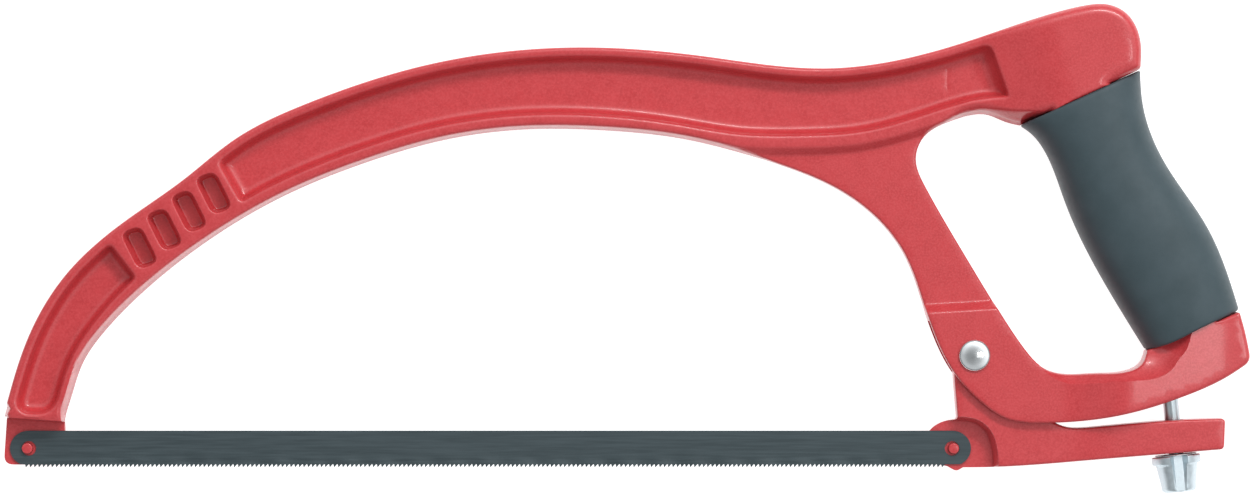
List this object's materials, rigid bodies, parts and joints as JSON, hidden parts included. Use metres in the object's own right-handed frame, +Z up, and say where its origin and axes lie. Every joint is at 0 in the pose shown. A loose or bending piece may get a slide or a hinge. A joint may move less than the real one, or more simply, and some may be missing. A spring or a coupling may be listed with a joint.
{
  "type": "bow hacksaw",
  "caption": "Hand hacksaw: cast bow frame with a closed rubber-gripped handle, pinned blade, and a pivoting lever drawn up by a tension knob on a threaded stud.",
  "frame": {"origin": "on the lying surface under the middle of the saw's bounding box, the saw lying on its side", "axes": "+X from the front post towards the handle along the blade, +Y from the blade towards the back of the bow, +Z up out of the lying surface, across the saw's thickness"},
  "size_m": [0.404, 0.1588, 0.03],
  "materials": {
    "red_powder_coat": "satin powder coat",
    "lever_powder_coat": "satin powder coat",
    "front_pin_coat": "powder coated steel pin",
    "rear_pin_coat": "powder coated steel pin",
    "grip_rubber": "satin slate grey",
    "blued_blade_steel": "dark blued, matt",
    "rivet_chrome": "bright domed head",
    "stud_zinc": "bright zinc",
    "washer_zinc": "dull zinc",
    "knob_zinc": "satin zinc die casting"
  },
  "bodies": {
    "frame": {"frame_casting": "red_powder_coat", "grip_sleeve": "grip_rubber", "pivot_rivet": "rivet_chrome", "front_blade_pin": "front_pin_coat", "tension_stud": "stud_zinc"},
    "lever": {"tension_lever": "lever_powder_coat", "rear_blade_pin": "rear_pin_coat"},
    "washer": {"thrust_washer": "washer_zinc"},
    "knob": {"tension_knob": "knob_zinc"},
    "blade": {"blade": "blued_blade_steel"}
  },
  "joints": [
    {"name": "lever_pivot", "type": "hinge", "parent": "frame", "child": "lever", "pos_m": [0.11291, -0.03465, 0.015], "axis": [0, 0, 1], "range_deg": [-1.63, 0]},
    {"name": "knob_travel", "type": "slide", "parent": "frame", "child": "washer", "axis": [0.0976, -0.9952, 0], "range_m": [0, 0.00201]},
    {"name": "knob_spin", "type": "hinge", "parent": "washer", "child": "knob", "pos_m": [0.17879, -0.06733, 0.015], "axis": [0.0976, -0.9952, 0], "range_deg": [0, 900]},
    {"name": "blade_lift", "type": "slide", "parent": "frame", "child": "blade", "axis": [0, 0, 1], "range_m": [0, 0.03]}
  ],
  "couplings": [
    {"joint": "knob_travel", "follows": "knob_spin", "m_per_rad": 0.00012732},
    {"joint": "lever_pivot", "follows": "knob_spin", "ratio": -0.0018025}
  ]
}
